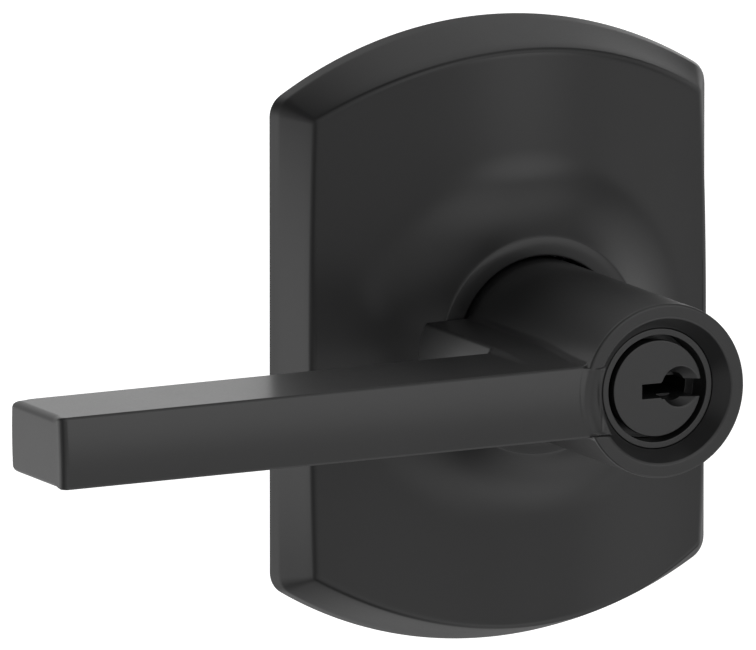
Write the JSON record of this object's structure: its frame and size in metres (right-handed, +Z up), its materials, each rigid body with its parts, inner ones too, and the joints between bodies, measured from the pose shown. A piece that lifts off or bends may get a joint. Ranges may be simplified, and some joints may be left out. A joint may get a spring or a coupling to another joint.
{
  "type": "keyed entry door lever",
  "caption": "Outside half of a keyed entry door lever: arched rose with a raised collar, L-shaped straight lever with a key cylinder in its hub, sprung spindle and posts.",
  "frame": {"origin": "where the spindle axis crosses the door face, at the middle of the door's cross bore", "axes": "+Z up, +Y into the door along the spindle axis, the outside of the door and the lever towards -Y, the grip points to -X"},
  "size_m": [0.13, 0.0978, 0.0916],
  "materials": {
    "black_paint": "satin matte black powder coat on cast zinc",
    "black_cylinder": "satin black plated brass",
    "zinc_plated_steel": "bright zinc plate",
    "dark_steel": "dark oiled steel",
    "spring_steel": "spring steel",
    "brass": "turned brass",
    "nylon": "moulded nylon"
  },
  "bodies": {
    "trim": {"rose": "black_paint", "mounting_plate": "zinc_plated_steel", "mounting_posts": "zinc_plated_steel", "spring_cage": "zinc_plated_steel", "cage_cover": "zinc_plated_steel", "cage_screws": "dark_steel", "spindle_bush": "nylon", "thrust_washer": "spring_steel", "return_spring": "spring_steel"},
    "handle": {"lever": "black_paint", "spindle": "zinc_plated_steel", "retaining_ring": "spring_steel", "driver_cam": "dark_steel", "catch_holder": "dark_steel", "catch_spring": "spring_steel", "cylinder_body": "black_cylinder", "cylinder_clip": "spring_steel", "chamber_cover": "brass", "pin_spring_1": "spring_steel", "pin_spring_2": "spring_steel", "pin_spring_3": "spring_steel", "pin_spring_4": "spring_steel", "pin_spring_5": "spring_steel"},
    "catch": {"lever_catch": "zinc_plated_steel"},
    "key_plug": {"plug": "black_cylinder", "plug_clip": "spring_steel", "tailpiece": "zinc_plated_steel"},
    "key_pin_body_1": {"key_pin_1": "brass"},
    "driver_body_1": {"driver_pin_1": "zinc_plated_steel"},
    "key_pin_body_2": {"key_pin_2": "brass"},
    "driver_body_2": {"driver_pin_2": "zinc_plated_steel"},
    "key_pin_body_3": {"key_pin_3": "brass"},
    "driver_body_3": {"driver_pin_3": "zinc_plated_steel"},
    "key_pin_body_4": {"key_pin_4": "brass"},
    "driver_body_4": {"driver_pin_4": "zinc_plated_steel"},
    "key_pin_body_5": {"key_pin_5": "brass"},
    "driver_body_5": {"driver_pin_5": "zinc_plated_steel"}
  },
  "joints": [
    {"name": "lever_turn", "type": "hinge", "parent": "trim", "child": "handle", "pos_m": [0, 0, 0], "axis": [0, 1, 0], "range_deg": [-50, 50], "stiffness_Nm_per_rad": 2.5, "springref_deg": 1.26, "deforming": ["return_spring"]},
    {"name": "plug_turn", "type": "hinge", "parent": "handle", "child": "key_plug", "pos_m": [0, -0.05, 0], "axis": [0, 1, 0], "range_deg": [-90, 90]},
    {"name": "catch_push", "type": "slide", "parent": "handle", "child": "catch", "axis": [0, 0, 1], "range_m": [0, 0.002], "stiffness_N_per_m": 60, "deforming": ["catch_spring"]},
    {"name": "key_pin_1_drop", "type": "slide", "parent": "key_plug", "child": "key_pin_body_1", "axis": [1, 0, 0], "range_m": [0, 0.00355]},
    {"name": "driver_pin_1_lift", "type": "slide", "parent": "handle", "child": "driver_body_1", "axis": [-1, 0, 0], "range_m": [0, 0.0022], "stiffness_N_per_m": 20, "deforming": ["pin_spring_1"]},
    {"name": "key_pin_2_drop", "type": "slide", "parent": "key_plug", "child": "key_pin_body_2", "axis": [1, 0, 0], "range_m": [0, 0.00235]},
    {"name": "driver_pin_2_lift", "type": "slide", "parent": "handle", "child": "driver_body_2", "axis": [-1, 0, 0], "range_m": [0, 0.0022], "stiffness_N_per_m": 20, "deforming": ["pin_spring_2"]},
    {"name": "key_pin_3_drop", "type": "slide", "parent": "key_plug", "child": "key_pin_body_3", "axis": [1, 0, 0], "range_m": [0, 0.00315]},
    {"name": "driver_pin_3_lift", "type": "slide", "parent": "handle", "child": "driver_body_3", "axis": [-1, 0, 0], "range_m": [0, 0.0022], "stiffness_N_per_m": 20, "deforming": ["pin_spring_3"]},
    {"name": "key_pin_4_drop", "type": "slide", "parent": "key_plug", "child": "key_pin_body_4", "axis": [1, 0, 0], "range_m": [0, 0.00175]},
    {"name": "driver_pin_4_lift", "type": "slide", "parent": "handle", "child": "driver_body_4", "axis": [-1, 0, 0], "range_m": [0, 0.0022], "stiffness_N_per_m": 20, "deforming": ["pin_spring_4"]},
    {"name": "key_pin_5_drop", "type": "slide", "parent": "key_plug", "child": "key_pin_body_5", "axis": [1, 0, 0], "range_m": [0, 0.00275]},
    {"name": "driver_pin_5_lift", "type": "slide", "parent": "handle", "child": "driver_body_5", "axis": [-1, 0, 0], "range_m": [0, 0.0022], "stiffness_N_per_m": 20, "deforming": ["pin_spring_5"]}
  ]
}
